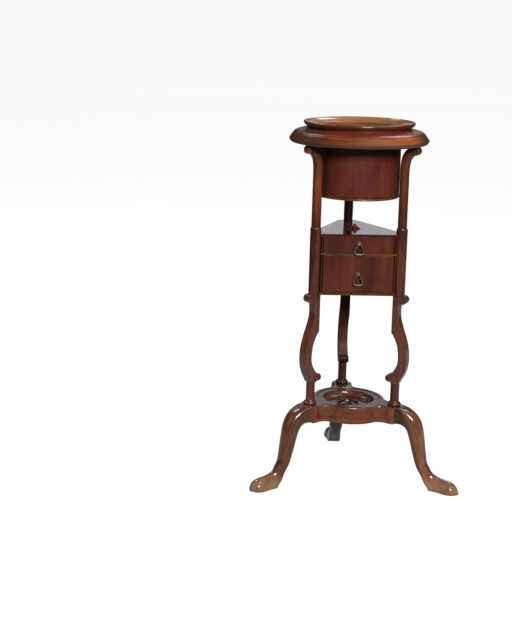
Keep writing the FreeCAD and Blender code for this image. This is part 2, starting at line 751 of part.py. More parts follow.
# ---------------------------------------------------------------- liner
dlow, dr_, di = cell("drum_low"), cell("drum_r"), cell("drum_in")
ct, co, ht = cell("collar_top"), cell("collar_out"), cell("total_height")
turned("drum_wall", [(di, dlow + 10.0), (dr_, dlow + 10.0), (dr_, rt + 0.2), (di, rt + 0.2)])
turned("drum_bottom", [
    (0.0, dlow + 4.0), (dr_, dlow + 4.0), (dr_, dlow + 10.0), (0.0, dlow + 10.0)])
turned("drum_base_bead", [
    (di - 6.0, dlow),
    (dr_ - 0.6, dlow),
    ("arc", (VALUE["drum_r"] + 0.6, VALUE["drum_low"] + 2.0), (dr_ - 0.2, dlow + 4.0)),
    (di - 6.0, dlow + 4.0),
])
turned("collar", [
    (di + 1.0, rt + 0.2),
    (co - 0.6, rt + 0.2),
    (co, rt + 0.8),
    (co, ct),
    (di + 11.0, ct),
    (di + 8.0, rt + 2.6),
    (di + 1.0, rt + 2.6),
])
turned("rim", [
    (di + 11.0, ct),
    (co + 0.3, ct),
    ("curve", [(117.3, 813.9), (120.4, 815.8), (122.8, 818.5)], (cell("rim_r"), ht - 3.4)),
    ("curve", [(124.0, 823.1), (123.0, 824.4)], (cell("rim_r") - 2.8, ht)),
    (cell("rim_r") - 4.6, ht),
    ("arc", (VALUE["rim_r"] - 6.6, VALUE["total_height"] - 0.9), (cell("rim_r") - 7.6, ht - 2.6)),
    ("curve", [(112.0, 819.6), (106.6, 817.4), (102.4, 815.6)], (di + 11.0, ct + 1.2)),
])

# ---------------------------------------------------------------- drawer case
cfz = cell("case_front")
SQ3 = math.sqrt(3.0)


def case_corners(front, side, rear, half_front, front_turn):
    """Six corners: front edge, two sides at this distance from the axis, and
    the cut-off rear corner."""
    f, s, r = val(front), val(side), val(rear)
    xr = (s - 0.5 * r) / (SQ3 / 2)
    xs = (s + 0.5 * front_turn) / (SQ3 / 2)
    k_r = Size(xr, "((%s - %s * 0.5) / %.9f)" % (size(side).e, size(rear).e, SQ3 / 2))
    k_s = Size(xs, "((%s + %.6f) / %.9f)" % (size(side).e, 0.5 * front_turn, SQ3 / 2))
    return [(-size(half_front), -size(front)), (size(half_front), -size(front)),
            (k_s, -front_turn), (k_r, size(rear)), (-k_r, size(rear)), (-k_s, -front_turn)]


def case_board(label, z0, thick, corners, notch, peg=None, rear_notch=None):
    b = new_body(label)
    sk = new_sketch(b, label + "_outline", "XY_Plane", z0)
    outline(sk, corners)
    pad(b, sk, thick, label + "_board")
    sk = new_sketch(b, label + "_notches", "XY_Plane", size(z0) + size(thick))
    for side, ang in POSTS:
        ca, sa = math.cos(math.radians(ang)), math.sin(math.radians(ang))
        r = rear_notch if side == "rear" and rear_notch is not None else notch
        circle(sk, cell("post_circle") * ca, cell("post_circle") * sa, r)
    if peg is not None:
        circle(sk, 0.0, cell("boss_y"), peg)
    cut_depth(b, sk, thick, label + "_notch_cut")
    return b


c_low, c_top, brd = cell("case_low"), cell("case_top"), cell("board")
case_board("case_bottom", c_low, brd, case_corners(cfz, cfz, 101.0, 85.2, 37.0), cell("stile_r") + 0.3)
# the top runs on behind the rear stile
ctr_ = cell("case_top_rear")
case_board("case_top", c_top - brd, brd,
           [(-85.2, -cfz), (85.2, -cfz), (100.5, -37.0), (20.0, ctr_), (-20.0, ctr_), (-100.5, -37.0)],
           cell("stile_r") + 0.3, 4.1, cell("rear_neck") + 0.1)
r_low, r_th = cell("rail_low"), cell("rail_thick")
b = case_board("drawer_divider", r_low, r_th,
               case_corners(cfz - 0.4, cell("side_offset") - 0.2, 97.0, 84.6, 42.0),
               cell("stile_r") + 0.3)
fy = -(VALUE["case_front"] - 0.4)
round_edges(b, b.Tip, lambda e: abs(e.BoundBox.YMin - fy) < 1e-3 and abs(e.BoundBox.YMax - fy) < 1e-3
            and e.BoundBox.XLength > 50, 1.5, "divider_bead")

# case sides stand in the grooves of the stiles
so, sth = cell("side_offset"), cell("side_thick")
span = VALUE["post_circle"] * SQ3
for label, ang in (("case_side_right", 30.0), ("case_side_left", 150.0)):
    f = doc.addObject("Part::Box", label)
    f.Label = label
    bind(f, "Length", sth)
    f.setExpression("Width", "Sheet.post_circle * %.9f - 16" % SQ3)
    f.Width = span - 16.0
    bind(f, "Height", c_top - c_low - brd * 2.0)
    ca, sa = math.cos(math.radians(ang)), math.sin(math.radians(ang))
    half = (span - 16.0) / 2.0
    f.Placement = Placement(
        Vector(so.v * ca + half * sa, so.v * sa - half * ca, c_low.v + brd.v),
        Rotation(Vector(0, 0, 1), ang))
    f.setExpression("Placement.Base.x", "Sheet.side_offset * %.9f + (Sheet.post_circle * %.9f - 16) / 2 * %.9f" % (ca, SQ3, sa))
    f.setExpression("Placement.Base.y", "Sheet.side_offset * %.9f - (Sheet.post_circle * %.9f - 16) / 2 * %.9f" % (sa, SQ3, ca))
    f.setExpression("Placement.Base.z", "Sheet.case_low + Sheet.board")
    NODES.append(f)

# thin beads beside the drawer fronts, with a lip behind
bo, bi = cell("bead_out"), cell("bead_in")
for label, hand, z0, z1 in (
    ("front_bead_lower_left", -1.0, c_low + brd, r_low),
    ("front_bead_lower_right", 1.0, c_low + brd, r_low),
    ("front_bead_upper_left", -1.0, r_low + r_th, c_top - brd),
    ("front_bead_upper_right", 1.0, r_low + r_th, c_top - brd),
):
    b = new_body(label)
    sk = new_sketch(b, label + "_section", "XY_Plane", z0)
    fr = cell("case_front") - 0.8
    outline(sk, [
        (bo * hand, -50.0),
        (bo * hand, -fr + 1.0),
        ("arc", (hand * (VALUE["bead_out"] + VALUE["bead_in"]) / 2.0, -(VALUE["case_front"] - 0.8)), (bi * hand, -fr + 1.0)),
        (bi * hand, -58.0),
        ((bi - 2.0) * hand, -58.0),
        ((bi - 2.0) * hand, -50.0),
    ])
    pad(b, sk, z1 - z0, label + "_strip")

# turned boss pegged into the case top
b = turned("top_boss", [
    (0.0, c_top - 5.5),
    (4.0, c_top - 5.5),
    (4.0, c_top),
    (12.0, c_top),
    ("arc", (12.6, VALUE["case_top"] + 0.9), (11.8, c_top + 1.8)),
    ("curve", [(9.0, 581.0), (6.4, 583.0), (4.9, 585.0)], (4.2, c_top + 8.4)),
    ("arc", (3.2, VALUE["case_top"] + 10.4), (1.2, c_top + 11.4)),
    (0.0, c_top + 11.4),
])
b.Placement = Placement(Vector(0, VALUE["boss_y"], 0), Rotation())
b.setExpression("Placement.Base.y", "Sheet.boss_y")

# ---------------------------------------------------------------- drawers
fh, ff, ft = cell("front_half"), cell("front_face"), cell("front_thick")
gap, ds, db, dbk = cell("drawer_gap"), cell("drawer_side"), cell("drawer_bottom"), cell("drawer_back")
T30 = math.tan(math.radians(30.0))
C30 = math.cos(math.radians(30.0))


def drawer(prefix, z0, z1, side_top, pull_z):
    back_y = ff - ft                       # inner face of the front, distance from the axis
    z_low = z0 + gap
    # front, bored for the pull
    b = new_body(prefix + "_drawer_front")
    sk = new_sketch(b, prefix + "_front_face", "XZ_Plane", back_y)
    outline(sk, [(-fh, z_low), (fh, z_low), (fh, z1 - gap), (-fh, z1 - gap)])
    base = pad(b, sk, ft, prefix + "_front_board")
    face_y = -VALUE["front_face"]
    round_edges(
        b, base, lambda e: abs(e.BoundBox.YMin - face_y) < 1e-3 and e.BoundBox.YLength < 1e-3,
        0.7, prefix + "_front_rounding")
    sk = new_sketch(b, prefix + "_pull_hole", "XZ_Plane", ff)
    circle(sk, 0.0, pull_z, cell("pull_shank") + play)
    cut_depth(b, sk, ft, prefix + "_pull_hole_cut")
    # sides run back and in at thirty degrees
    reach = back_y + dbk
    side_x = fh - 0.3
    xo_b = side_x - reach * T30
    inset = ds * (1.0 / C30)
    for hand, word in ((-1.0, "left"), (1.0, "right")):
        b = new_body("%s_drawer_side_%s" % (prefix, word))
        sk = new_sketch(b, "%s_side_%s_plan" % (prefix, word), "XY_Plane", z_low + db)
        outline(sk, [
            (side_x * hand, -back_y), (xo_b * hand, dbk),
            ((xo_b - inset) * hand, dbk), ((side_x - inset) * hand, -back_y)])
        pad(b, sk, side_top - z_low - db, "%s_side_%s_board" % (prefix, word))
    # back between the sides
    b = new_body(prefix + "_drawer_back")
    sk = new_sketch(b, prefix + "_back_plan", "XY_Plane", z_low + db)
    xi_b = xo_b - inset - 0.03
    xi_f = xi_b + 6.0 * T30
    outline(sk, [(-xi_f, dbk - 6.0), (xi_f, dbk - 6.0), (xi_b, dbk), (-xi_b, dbk)])
    pad(b, sk, side_top - z_low - db, prefix + "_back_board")
    # bottom under the sides
    b = new_body(prefix + "_drawer_bottom")
    sk = new_sketch(b, prefix + "_bottom_plan", "XY_Plane", z_low)
    outline(sk, [(-side_x, -back_y), (side_x, -back_y), (xo_b, dbk), (-xo_b, dbk)])
    pad(b, sk, db, prefix + "_bottom_board")


drawer("lower", c_low + brd, r_low, cell("low_side_top"), cell("pull_low_z"))
drawer("upper", r_low + r_th, c_top - brd, cell("up_side_top"), cell("pull_up_z"))

# ---------------------------------------------------------------- drop pulls
pr, ps, pe, po = cell("pull_rod"), cell("pull_shank"), cell("pull_eye"), cell("pull_out")


def pull(prefix, pz):
    # turned back plate against the drawer front
    b = new_body(prefix + "_pull_plate")
    rp, tp = cell("plate_r"), cell("plate_thick")
    revolve(b, outline(new_sketch(b, prefix + "_plate_profile"), [
        (ps + 0.1, 0.0),
        (rp, 0.0),
        (rp, 0.5),
        ("arc", (VALUE["plate_r"] - 0.6, 1.0), (rp - 1.6, 1.1)),
        (3.4, tp),
        (ps + 0.1, tp),
    ]))
    b.Placement = Placement(Vector(0, -val(ff), val(pz)), Rotation(Vector(1, 0, 0), 90))
    b.setExpression("Placement.Base.y", "-" + ff.e)
    b.setExpression("Placement.Base.z", pz.e)
    # eye bolt: ring head and shank, seen along X for the head
    b = new_body(prefix + "_pull_eye_bolt")
    sk = new_sketch(b, prefix + "_shank_section", "XZ_Plane", 2.2)
    sk.AttachmentOffset = Placement(Vector(0, 0, -19.5), Rotation())
    circle(sk, 0.0, 0.0, ps)
    pad(b, sk, 17.6, prefix + "_shank")
    sk = new_sketch(b, prefix + "_eye_section", "YZ_Plane", -1.5)
    circle(sk, 0.0, 0.0, pe)
    pad(b, sk, 3.0, prefix + "_eye_disc")
    sk = new_sketch(b, prefix + "_eye_hole", "YZ_Plane", 1.5)
    circle(sk, 0.0, 0.0, pr + 0.05)
    cut_depth(b, sk, 3.0, prefix + "_eye_hole_cut")
    b.Placement = Placement(Vector(0, -val(po), val(pz)), Rotation())
    b.setExpression("Placement.Base.y", "-" + po.e)
    b.setExpression("Placement.Base.z", pz.e)
    # round nut inside the drawer
    b = new_body(prefix + "_pull_nut")
    sk = new_sketch(b, prefix + "_nut_section", "XZ_Plane", -2.4)
    flats = [(4.0 * math.cos(math.radians(60 * k)), 4.0 * math.sin(math.radians(60 * k))) for k in range(6)]
    outline(sk, flats)
    circle(sk, 0.0, 0.0, ps + 0.05)
    pad(b, sk, 2.4, prefix + "_nut_block")
    b.Placement = Placement(Vector(0, -val(ff - ft), val(pz)), Rotation())
    b.setExpression("Placement.Base.y", "-(%s - %s)" % (ff.e, ft.e))
    b.setExpression("Placement.Base.z", pz.e)
    # pear-shaped drop: straight bar through the eye, sloping sides, round foot
    b = new_body(prefix + "_pull_drop")
    r1, r2 = 2.4, 6.6
    x1 = 1.9
    x2 = VALUE["drop_half"] - r2
    z1, z2 = -r1, -(VALUE["drop_drop"] - r2)
    dx, dz = x2 - x1, z2 - z1
    beta = math.acos((r1 - r2) / math.hypot(dx, dz)) - math.atan2(-dz, dx)
    c, s = math.cos(beta), math.sin(beta)

    def on(x, z, r, a):
        return Vector(x + r * math.cos(a), z + r * math.sin(a), 0)

    path = new_sketch(b, prefix + "_drop_path")
    geo = []
    geo.append(path.addGeometry(Part.LineSegment(Vector(-x1, 0, 0), Vector(x1, 0, 0)), False))
    geo.append(path.addGeometry(Part.Arc(Vector(x1, 0, 0), on(x1, z1, r1, (math.pi / 2 + beta) / 2), on(x1, z1, r1, beta)), False))
    geo.append(path.addGeometry(Part.LineSegment(on(x1, z1, r1, beta), on(x2, z2, r2, beta)), False))
    geo.append(path.addGeometry(Part.Arc(on(x2, z2, r2, beta), on(x2, z2, r2, (beta - math.pi / 2) / 2), on(x2, z2, r2, -math.pi / 2)), False))
    geo.append(path.addGeometry(Part.LineSegment(on(x2, z2, r2, -math.pi / 2), on(-x2, z2, r2, -math.pi / 2)), False))
    m = math.pi
    geo.append(path.addGeometry(Part.Arc(on(-x2, z2, r2, -math.pi / 2), on(-x2, z2, r2, m - (beta - math.pi / 2) / 2), on(-x2, z2, r2, m - beta)), False))
    geo.append(path.addGeometry(Part.LineSegment(on(-x2, z2, r2, m - beta), on(-x1, z1, r1, m - beta)), False))
    geo.append(path.addGeometry(Part.Arc(on(-x1, z1, r1, m - beta), on(-x1, z1, r1, m - (math.pi / 2 + beta) / 2), Vector(-x1, 0, 0)), False))
    sec = new_sketch(b, prefix + "_drop_section", "YZ_Plane")
    circle(sec, 0.0, 0.0, pr)
    doc.recompute()
    f = b.newObject("PartDesign::AdditivePipe", prefix + "_drop_rod")
    f.Profile = sec
    f.Spine = (path, ["Edge%d" % (i + 1) for i in range(8)])
    doc.recompute()
    b.Placement = Placement(Vector(0, -val(po), val(pz)), Rotation())
    b.setExpression("Placement.Base.y", "-" + po.e)
    b.setExpression("Placement.Base.z", pz.e)


pull("upper", cell("pull_up_z"))
pull("lower", cell("pull_low_z"))

# ---------------------------------------------------------------- write
doc.recompute()
bad = []
for o in doc.Objects:
    if any(s in ("Invalid", "Error") for s in o.State):
        bad.append("%s: %s" % (o.Label, o.State))
for o in NODES:
    s = o.Shape
    if s.isNull() or not s.isValid():
        bad.append("%s: bad shape" % o.Label)
    elif len(s.Solids) != 1:
        bad.append("%s: %d solids" % (o.Label, len(s.Solids)))
if bad:
    raise RuntimeError("; ".join(bad))
os.makedirs("parts", exist_ok=True)
for o in NODES:
    o.Shape.exportStep("parts/%s.step" % o.Label)
    bb = o.Shape.optimalBoundingBox(True, False)
    print("%-28s vol %10.1f  x %7.1f %7.1f  y %7.1f %7.1f  z %7.1f %7.1f" % (
        o.Label, o.Shape.Volume, bb.XMin, bb.XMax, bb.YMin, bb.YMax, bb.ZMin, bb.ZMax))
print(len(NODES), "pieces")
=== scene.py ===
import bpy
import math
from mathutils import Matrix, Vector


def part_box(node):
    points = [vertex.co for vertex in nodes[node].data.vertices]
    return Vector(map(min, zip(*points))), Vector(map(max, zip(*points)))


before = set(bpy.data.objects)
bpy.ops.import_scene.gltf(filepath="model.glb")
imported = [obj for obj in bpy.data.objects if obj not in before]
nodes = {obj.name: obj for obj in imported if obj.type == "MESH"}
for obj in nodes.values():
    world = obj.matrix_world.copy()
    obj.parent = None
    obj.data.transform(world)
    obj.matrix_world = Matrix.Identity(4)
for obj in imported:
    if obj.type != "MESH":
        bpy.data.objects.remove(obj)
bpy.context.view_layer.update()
scene = bpy.context.scene
scene.view_settings.view_transform = "Standard"
scene.view_settings.look = "None"

# ------------------------------------------------------------------ camera
# Image of 512 x 639, with the lens shifted so that the upright edges and the
# level edges converge as they do in the photograph.
IMG_W, IMG_H = 512.0, 639.0
cam_data = bpy.data.cameras.new("camera")
cam = bpy.data.objects.new("camera", cam_data)
scene.collection.objects.link(cam)
az, pitch, roll = (math.radians(a) for a in (0.7623, 9.3643, 0.7))
focal_px, cx, cy = 1256.12, 144.0, 212.0
fw = Vector((-math.sin(az) * math.cos(pitch), math.cos(az) * math.cos(pitch), -math.sin(pitch)))
right = fw.cross(Vector((0, 0, 1))).normalized()
up = right.cross(fw)
c, s = math.cos(roll), math.sin(roll)
right, up = right * c + up * s, up * c - right * s
m = Matrix.Identity(4)
for i in range(3):
    m[i][0], m[i][1], m[i][2] = right[i], up[i], -fw[i]
m[0][3], m[1][3], m[2][3] = -0.4439, -2.8241, 1.0765
cam.matrix_world = m
cam_data.sensor_fit = "AUTO"
cam_data.sensor_width = 36.0
cam_data.lens = 36.0 * focal_px / IMG_H
cam_data.shift_x = (IMG_W / 2 - cx) / IMG_H
cam_data.shift_y = (cy - IMG_H / 2) / IMG_H
cam_data.clip_start, cam_data.clip_end = 0.05, 60.0
scene.camera = cam


# ------------------------------------------------------------------ node helpers
class Tree:
    """Short ways to add and join nodes in one material."""

    def __init__(self, name):
        self.mat = bpy.data.materials.new(name)
        self.mat.use_nodes = True
        self.nt = self.mat.node_tree
        self.nt.nodes.clear()
        self.x = 0

    def add(self, kind, **props):
        n = self.nt.nodes.new(kind)
        self.x += 40
        n.location = (self.x, 0)
        for k, v in props.items():
            setattr(n, k, v)
        return n

    def join(self, a, b):
        self.nt.links.new(a, b)

    def put(self, socket, value):
        if hasattr(value, "is_output"):
            self.join(value, socket)
        else:
            socket.default_value = value

    def math(self, op, a, b=None, clamp=False):
        n = self.add("ShaderNodeMath", operation=op, use_clamp=clamp)
        self.put(n.inputs[0], a)
        if b is not None:
            self.put(n.inputs[1], b)
        return n.outputs[0]

    def coords(self, turn=(0, 0, 0), stretch=(1, 1, 1), shift=(0, 0, 0), source=None):
        if source is None:
            source = self.add("ShaderNodeTexCoord").outputs["Object"]
        a = self.add("ShaderNodeMapping", vector_type="POINT")
        self.join(source, a.inputs["Vector"])
        a.inputs["Rotation"].default_value = turn
        b = self.add("ShaderNodeMapping", vector_type="POINT")
        self.join(a.outputs[0], b.inputs["Vector"])
        b.inputs["Scale"].default_value = stretch
        b.inputs["Location"].default_value = shift
        return b.outputs[0]

    def noise(self, vec, scale, detail=3.0, rough=0.55, distortion=0.0):
        n = self.add("ShaderNodeTexNoise")
        self.join(vec, n.inputs["Vector"])
        n.inputs["Scale"].default_value = scale
        n.inputs["Detail"].default_value = detail
        n.inputs["Roughness"].default_value = rough
        n.inputs["Distortion"].default_value = distortion
        return n.outputs["Fac"]

    def ramp(self, fac, stops, mode="LINEAR"):
        n = self.add("ShaderNodeValToRGB")
        n.color_ramp.interpolation = mode
        el = n.color_ramp.elements
        while len(el) < len(stops):
            el.new(0.5)
        for e, (p, col) in zip(el, stops):
            e.position = p
            e.color = (*col, 1.0) if len(col) == 3 else col
        self.join(fac, n.inputs["Fac"])
        return n.outputs["Color"]

    def grey(self, fac, lo, hi, out_lo=0.0, out_hi=1.0):
        n = self.add("ShaderNodeMapRange", clamp=True)
        self.join(fac, n.inputs["Value"])
        n.inputs["From Min"].default_value = lo
        n.inputs["From Max"].default_value = hi
        n.inputs["To Min"].default_value = out_lo
        n.inputs["To Max"].default_value = out_hi
        return n.outputs["Result"]

    def mix(self, fac, a, b, blend="MIX"):
        n = self.add("ShaderNodeMix", data_type="RGBA", blend_type=blend, clamp_factor=True)
        self.put(n.inputs["Factor"], fac)
        for key, v in (("A", a), ("B", b)):
            sock = [i for i in n.inputs if i.name == key and i.type == "RGBA"][0]
            if hasattr(v, "is_output"):
                self.join(v, sock)
            else:
                sock.default_value = (*v, 1.0)
        return [o for o in n.outputs if o.type == "RGBA"][0]

    def edges(self, radius, lo, hi):
        """1 on convex and concave edges, 0 on open faces."""
        b = self.add("ShaderNodeBevel", samples=6)
        b.inputs["Radius"].default_value = radius
        g = self.add("ShaderNodeNewGeometry")
        d = self.add("ShaderNodeVectorMath", operation="DOT_PRODUCT")
        self.join(b.outputs[0], d.inputs[0])
        self.join(g.outputs["Normal"], d.inputs[1])
        return self.grey(d.outputs["Value"], hi, lo)

    def crevice(self, distance, lo=0.35, hi=0.95):
        """1 in corners, 0 in the open."""
        a = self.add("ShaderNodeAmbientOcclusion", samples=6)
        a.inputs["Distance"].default_value = distance
        return self.grey(a.outputs["AO"], lo, hi, 1.0, 0.0)

    def bump(self, height, strength, distance, normal=None):
        n = self.add("ShaderNodeBump")
        n.inputs["Strength"].default_value = strength
        n.inputs["Distance"].default_value = distance
        self.join(height, n.inputs["Height"])
        if normal is not None:
            self.join(normal, n.inputs["Normal"])
        return n.outputs[0]

    def finish(self, **sockets):
        p = self.add("ShaderNodeBsdfPrincipled")
        for k, v in sockets.items():
            self.put(p.inputs[k.replace("_", " ")], v)
        o = self.add("ShaderNodeOutputMaterial")
        self.join(p.outputs[0], o.inputs["Surface"])
        return self.mat


AXIS_TURN = {"Z": (0, 0, 0), "X": (0, math.radians(-90), 0), "Y": (math.radians(90), 0, 0)}


def mahogany(name, grain="Z", turn=0.0, tilt=None, seed=0.0, dark=(0.030, 0.0060, 0.0042),
             mid=(0.105, 0.0215, 0.0105), light=(0.185, 0.048, 0.018), figure=1.0, pores=1.0,
             rough=0.34, coat=0.5, coat_rough=0.10, wear=0.35, wear_col=(0.33, 0.135, 0.052),
             grime_and_shade=0.45, ring=False, wave=1.0, spec=0.25, zones=(), side_shade=None, stripe=1.0,
             cloud=0.35, pull_shadow=None):
    """Polished mahogany. grain is the axis along which the streaks run; turn
    is a turn about Z first, in degrees; ring runs the grain round Z. Each zone
    is (what, from, to, colour, amount): the colour comes in as the height z, the
    radius r or the place x across the front, in metres, goes from the first
    number to the second. side_shade is
    (from, to, amount): painted shade, the wood darkens with the distance from the
    piece's own middle plane. pull_shadow is (height, radius, amount): a painted
    shadow behind a pull, at that height on the middle line."""
    t = Tree(name)
    base = place = t.add("ShaderNodeTexCoord").outputs["Object"]
    sep = t.add("ShaderNodeSeparateXYZ")
    t.join(place, sep.inputs[0])
    rad = t.math("SQRT", t.math("ADD", t.math("MULTIPLY", sep.outputs[0], sep.outputs[0]),
                                t.math("MULTIPLY", sep.outputs[1], sep.outputs[1])))
    if ring:
        ang = t.math("ARCTAN2", sep.outputs[1], sep.outputs[0])
        com = t.add("ShaderNodeCombineXYZ")
        t.join(rad, com.inputs[0])
        t.join(sep.outputs[2], com.inputs[1])
        t.join(t.math("MULTIPLY", ang, 0.12), com.inputs[2])
        base = com.outputs[0]
    else:
        if turn:
            mp = t.add("ShaderNodeMapping", vector_type="POINT")
            mp.inputs["Rotation"].default_value = (0, 0, math.radians(turn))
            t.join(base, mp.inputs["Vector"])
            base = own = mp.outputs[0]
        if tilt is not None:
            mp = t.add("ShaderNodeMapping", vector_type="POINT")
            mp.inputs["Rotation"].default_value = (0, math.radians(tilt), 0)
            t.join(base, mp.inputs["Vector"])
            base = mp.outputs[0]
        if grain != "Z":
            mp = t.add("ShaderNodeMapping", vector_type="POINT")
            mp.inputs["Rotation"].default_value = AXIS_TURN[grain]
            t.join(base, mp.inputs["Vector"])
            base = mp.outputs[0]
    sh = (seed * 1.37, seed * 0.73, seed * 2.11)
    broad = t.noise(t.coords(stretch=(1, 1, 0.16), shift=sh, source=base), 20.0, 2.5, 0.5, 0.5)
    streak = t.noise(t.coords(stretch=(1, 1, 0.040), shift=sh, source=base), 120.0, 4.0, 0.6, 0.25)
    fine = t.noise(t.coords(stretch=(1, 1, 0.03), shift=sh, source=base), 520.0, 2.0, 0.5)
    pore = t.noise(t.coords(stretch=(1, 1, 0.05), shift=sh, source=base), 1500.0, 1.0, 0.4)
    fac = t.math("ADD", t.math("MULTIPLY", broad, 0.62 * figure), t.math("MULTIPLY", streak, 0.38 * stripe))
    fac = t.math("ADD", fac, t.math("MULTIPLY", t.math("SUBTRACT", fine, 0.5), 0.16 * stripe))
    fac = t.math("ADD", fac, 0.31 * (1.0 - figure) + 0.19 * (1.0 - stripe))
    col = t.ramp(fac, [(0.34, dark), (0.50, mid), (0.66, light)])
    mist = t.noise(t.coords(stretch=(1, 1, 0.55), shift=sh, source=base), 16.0, 3.0, 0.6, 0.8)
    col = t.mix(t.grey(mist, 0.46, 0.68, 0.0, cloud), col, tuple(x * 0.9 for x in dark))
    for what, a, b, zc, amount in zones:
        src = {"x": sep.outputs[0], "z": sep.outputs[2], "r": rad}[what]
        zn = t.noise(t.coords(stretch=(1, 1, 0.2), shift=sh, source=base), 60.0, 3.0, 0.6)
        lo, hi = min(a, b), max(a, b)
        zf = t.math("ADD", src, t.math("MULTIPLY", t.math("SUBTRACT", zn, 0.5), (hi - lo) * 0.9))
        zf = t.grey(zf, lo, hi, 0.0 if a < b else amount, amount if a < b else 0.0)
        shade = t.ramp(fac, [(0.32, tuple(x * 0.62 for x in zc)), (0.55, zc), (0.75, tuple(x * 1.3 for x in zc))])
        col = t.mix(zf, col, shade)
    # Painted shade: the wood darkens away from the piece's own middle plane.
    if side_shade:
        fs = t.add("ShaderNodeSeparateXYZ")
        t.join(own, fs.inputs[0])
        col = t.mix(t.grey(t.math("ABSOLUTE", fs.outputs[1]), side_shade[0], side_shade[1], 0.0, side_shade[2]),
                    col, tuple(x * 0.55 for x in dark))
    # Painted shadow of the pull on the drawer front, round the pull's height on the middle line.
    if pull_shadow:
        dz = t.math("SUBTRACT", sep.outputs[2], pull_shadow[0])
        far = t.math("SQRT", t.math("ADD", t.math("MULTIPLY", sep.outputs[0], sep.outputs[0]), t.math("MULTIPLY", dz, dz)))
        col = t.mix(t.grey(far, pull_shadow[1] * 0.45, pull_shadow[1], pull_shadow[2], 0.0), col, tuple(x * 0.5 for x in dark))
    pm = t.grey(pore, 0.60, 0.70, 0.0, 0.45 * pores)
    col = t.mix(pm, col, tuple(x * 0.45 for x in dark), "MIX")
    wn = t.noise(t.coords(shift=sh, source=base), 75.0, 3.0, 0.6)
    ed = t.edges(0.0016, 0.80, 0.985)
    col = t.mix(t.math("MULTIPLY", ed, t.grey(wn, 0.38, 0.62, 0.0, wear)), col, wear_col)
    # Darker in the corners the occlusion finds: partly old wax and dirt, partly painted shade.
    cre = t.crevice(0.016)
    col = t.mix(t.math("MULTIPLY", cre, grime_and_shade), col, (0.010, 0.0045, 0.0036))
    ro = t.math("ADD", t.grey(wn, 0.3, 0.7, rough - 0.06, rough + 0.08),
                t.math("MULTIPLY", cre, 0.18), clamp=True)
    b1 = t.bump(fine, 0.10, 0.00020)
    b2 = t.bump(pore, 0.08, 0.00012, b1)
    big = t.noise(t.coords(shift=sh, source=base), 34.0, 1.0, 0.4)
    b3 = t.bump(big, 0.16 * wave, 0.0010)
    return t.finish(Base_Color=col, Roughness=ro, Normal=b2, Coat_Normal=b3, Coat_Weight=coat,
                    Coat_Roughness=coat_rough, Coat_IOR=1.5, IOR=1.48, Specular_IOR_Level=spec)


def lining_wood(name, grain="X", seed=0.0):
    """Plain sawn secondary wood inside the drawers."""
    t = Tree(name)
    base = t.add("ShaderNodeTexCoord").outputs["Object"]
    if grain != "Z":
        mp = t.add("ShaderNodeMapping", vector_type="POINT")
        mp.inputs["Rotation"].default_value = AXIS_TURN[grain]
        t.join(base, mp.inputs["Vector"])
        base = mp.outputs[0]
    sh = (seed, seed * 0.6, seed * 1.9)
    broad = t.noise(t.coords(stretch=(1, 1, 0.15), shift=sh, source=base), 22.0, 2.0, 0.5, 0.4)
    streak = t.noise(t.coords(stretch=(1, 1, 0.03), shift=sh, source=base), 190.0, 3.0, 0.6)
    fine = t.noise(t.coords(stretch=(1, 1, 0.06), shift=sh, source=base), 900.0, 2.0, 0.5)
    fac = t.math("ADD", t.math("MULTIPLY", broad, 0.5), t.math("MULTIPLY", streak, 0.5))
    col = t.ramp(fac, [(0.30, (0.19, 0.095, 0.040)), (0.52, (0.32, 0.185, 0.085)), (0.72, (0.43, 0.28, 0.145))])
    stain = t.noise(t.coords(shift=sh, source=base), 14.0, 4.0, 0.65)
    col = t.mix(t.grey(stain, 0.52, 0.75, 0.0, 0.45), col, (0.12, 0.062, 0.030))
    col = t.mix(t.math("MULTIPLY", t.crevice(0.018), 0.6), col, (0.045, 0.025, 0.014))
    ro = t.grey(streak, 0.3, 0.7, 0.58, 0.78)
    b = t.bump(streak, 0.25, 0.0003)
    return t.finish(Base_Color=col, Roughness=ro, Normal=t.bump(fine, 0.2, 0.00015, b), IOR=1.45)


def old_brass(name, z_low, z_high, seed=0.0):
    """Dull brass, darker above and lighter on the low part of the loop."""
    t = Tree(name)
    base = t.add("ShaderNodeTexCoord").outputs["Object"]
    sep = t.add("ShaderNodeSeparateXYZ")
    t.join(base, sep.inputs[0])
    a = t.noise(t.coords(shift=(seed, 0, 0), source=base), 260.0, 4.0, 0.6)
    b = t.noise(t.coords(shift=(0, seed, 0), source=base), 1400.0, 3.0, 0.6)
    old = t.ramp(a, [(0.32, (0.080, 0.047, 0.035)), (0.52, (0.160, 0.098, 0.074)), (0.70, (0.24, 0.155, 0.118))])
    low_tone = t.ramp(a, [(0.32, (0.16, 0.098, 0.076)), (0.52, (0.25, 0.160, 0.128)), (0.70, (0.34, 0.228, 0.185))])
    low = t.math("ADD", sep.outputs[2], t.math("MULTIPLY", t.math("SUBTRACT", a, 0.5), 0.004))
    col = t.mix(t.grey(low, z_low, z_high, 1.0, 0.0), old, low_tone)
    col = t.mix(t.math("MULTIPLY", t.crevice(0.004), 0.7), col, (0.020, 0.013, 0.010))
    ro = t.grey(a, 0.3, 0.7, 0.58, 0.42)
    return t.finish(Base_Color=col, Metallic=0.85, Roughness=ro, Normal=t.bump(b, 0.22, 0.00008))


# ------------------------------------------------------------------ materials
def wear(name, mat):
    o = nodes[name]
    o.data.materials.clear()
    o.data.materials.append(mat)
    for p in o.data.polygons:
        p.material_index = 0


